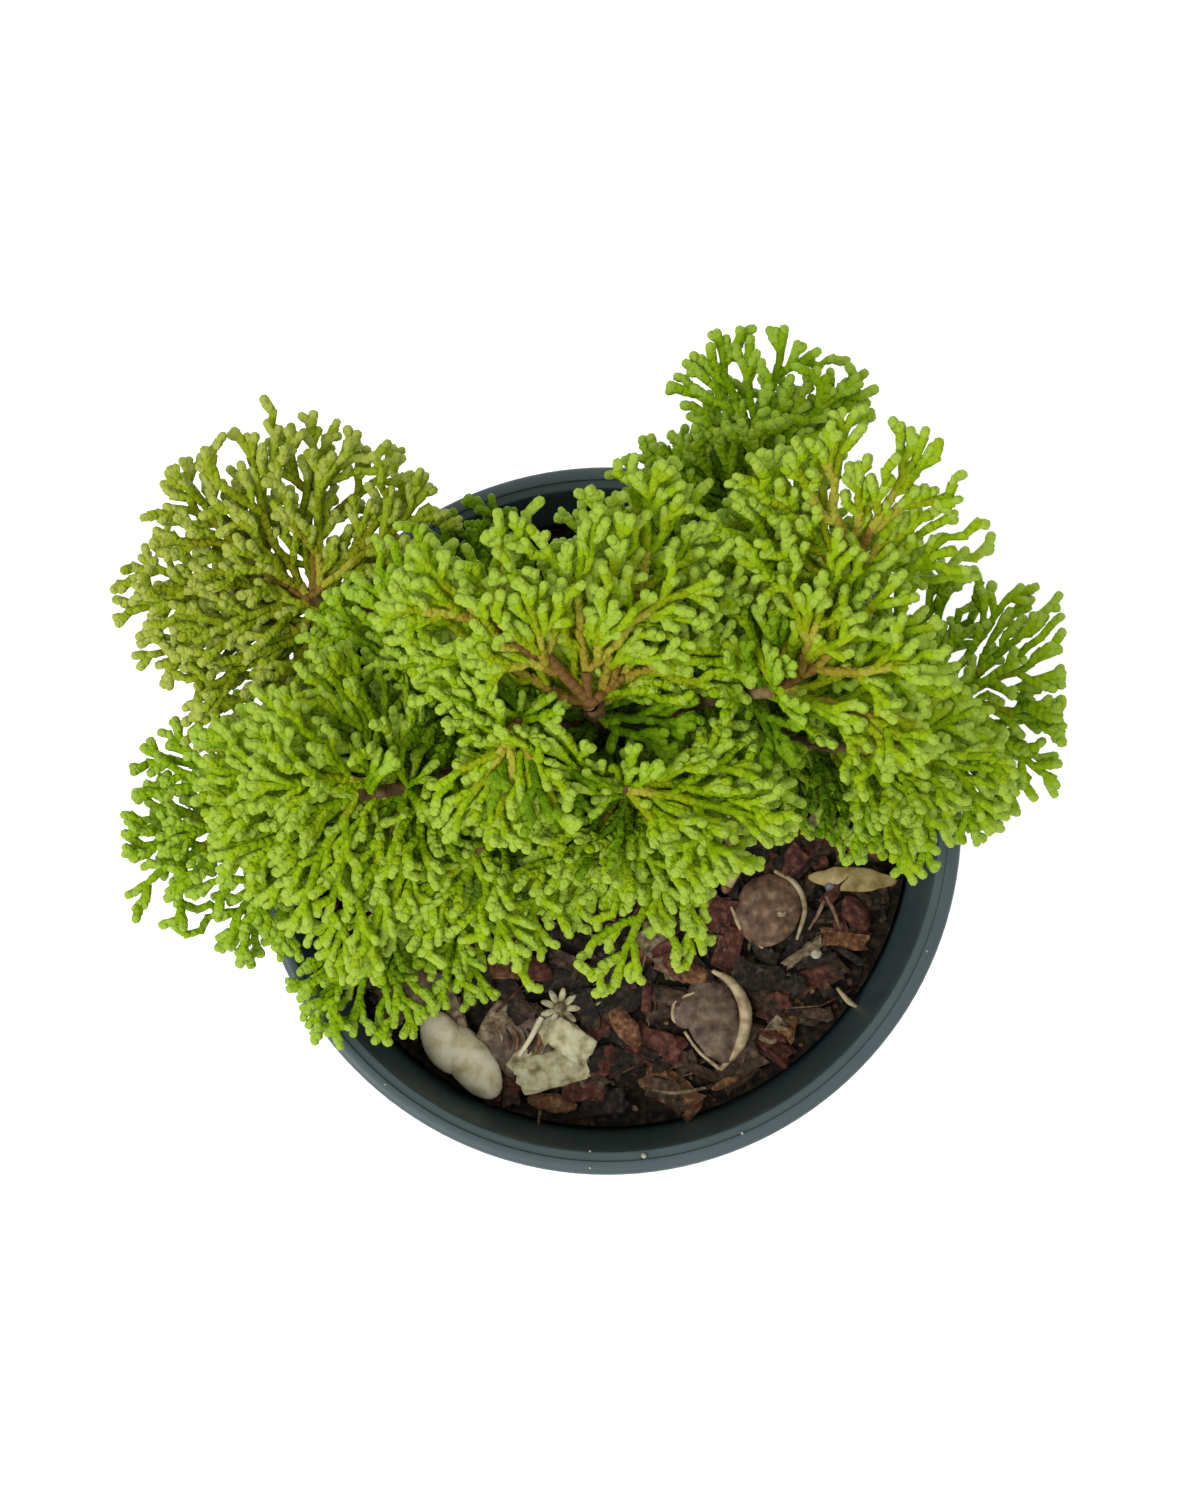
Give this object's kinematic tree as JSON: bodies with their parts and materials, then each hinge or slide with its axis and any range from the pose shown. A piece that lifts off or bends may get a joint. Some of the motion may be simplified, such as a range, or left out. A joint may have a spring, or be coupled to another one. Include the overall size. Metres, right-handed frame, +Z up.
{
  "type": "potted conifer",
  "caption": "Dwarf conifer with flat, fan-shaped sprays of scale leaves on curved boughs, in a round plastic nursery pot topped with bark and dry husk mulch.",
  "frame": {"origin": "centre of the pot's flat underside", "axes": "+Z up out of the pot, +Y to the back of the plant, where the crown leans, +X to its right"},
  "size_m": [0.1638, 0.1433, 0.2035],
  "materials": {
    "pot_plastic": "slightly glossy moulded plastic, slate green",
    "medium": "damp bark and soil",
    "husk": "dry, matt seed husk",
    "bark": "rough red-brown bark",
    "foliage": "waxy scale leaves, yellow-green"
  },
  "bodies": {
    "root": {"bough_back": "bark", "bough_back_left": "bark", "bough_centre_front": "bark", "bough_centre_left": "bark", "bough_front": "bark", "bough_front_left": "bark", "bough_left": "bark", "bough_left_back": "bark", "bough_left_low": "bark", "bough_mid_left": "bark", "bough_right": "bark", "bough_right_back": "bark", "bough_right_low": "bark", "bough_right_mid": "bark", "foliage_back_fan": "foliage", "foliage_back_left_fill": "foliage", "foliage_back_left_sprig": "foliage", "foliage_back_low_fill": "foliage", "foliage_back_mid_fan": "foliage", "foliage_back_right_fill": "foliage", "foliage_back_sprig": "foliage", "foliage_centre_crown": "foliage", "foliage_centre_edge_spray": "foliage", "foliage_centre_front_spray": "foliage", "foliage_centre_right_fan": "foliage", "foliage_front_fan": "foliage", "foliage_front_left_fan": "foliage", "foliage_front_left_sprig": "foliage", "foliage_front_low_fill": "foliage", "foliage_front_low_sprig": "foliage", "foliage_front_mid_fill": "foliage", "foliage_inner_back_fill": "foliage", "foliage_inner_right_fill": "foliage", "foliage_left_back_fan": "foliage", "foliage_left_back_under": "foliage", "foliage_left_dome": "foliage", "foliage_left_dome_front": "foliage", "foliage_left_dome_top": "foliage", "foliage_left_low_fan": "foliage", "foliage_left_mid_fill": "foliage", "foliage_mid_left_spray": "foliage", "foliage_right_back_crown": "foliage", "foliage_right_fan": "foliage", "foliage_right_front_fan": "foliage", "foliage_right_front_sprig": "foliage", "foliage_right_low_fan": "foliage", "foliage_right_low_sprig": "foliage", "foliage_right_mid_fan": "foliage", "growing_medium": "medium", "mulch_brown_shell": "husk", "mulch_half_pod": "husk", "mulch_pale_pod": "husk", "mulch_pale_shell": "husk", "pot": "pot_plastic", "trunk": "bark"}
  },
  "joints": []
}
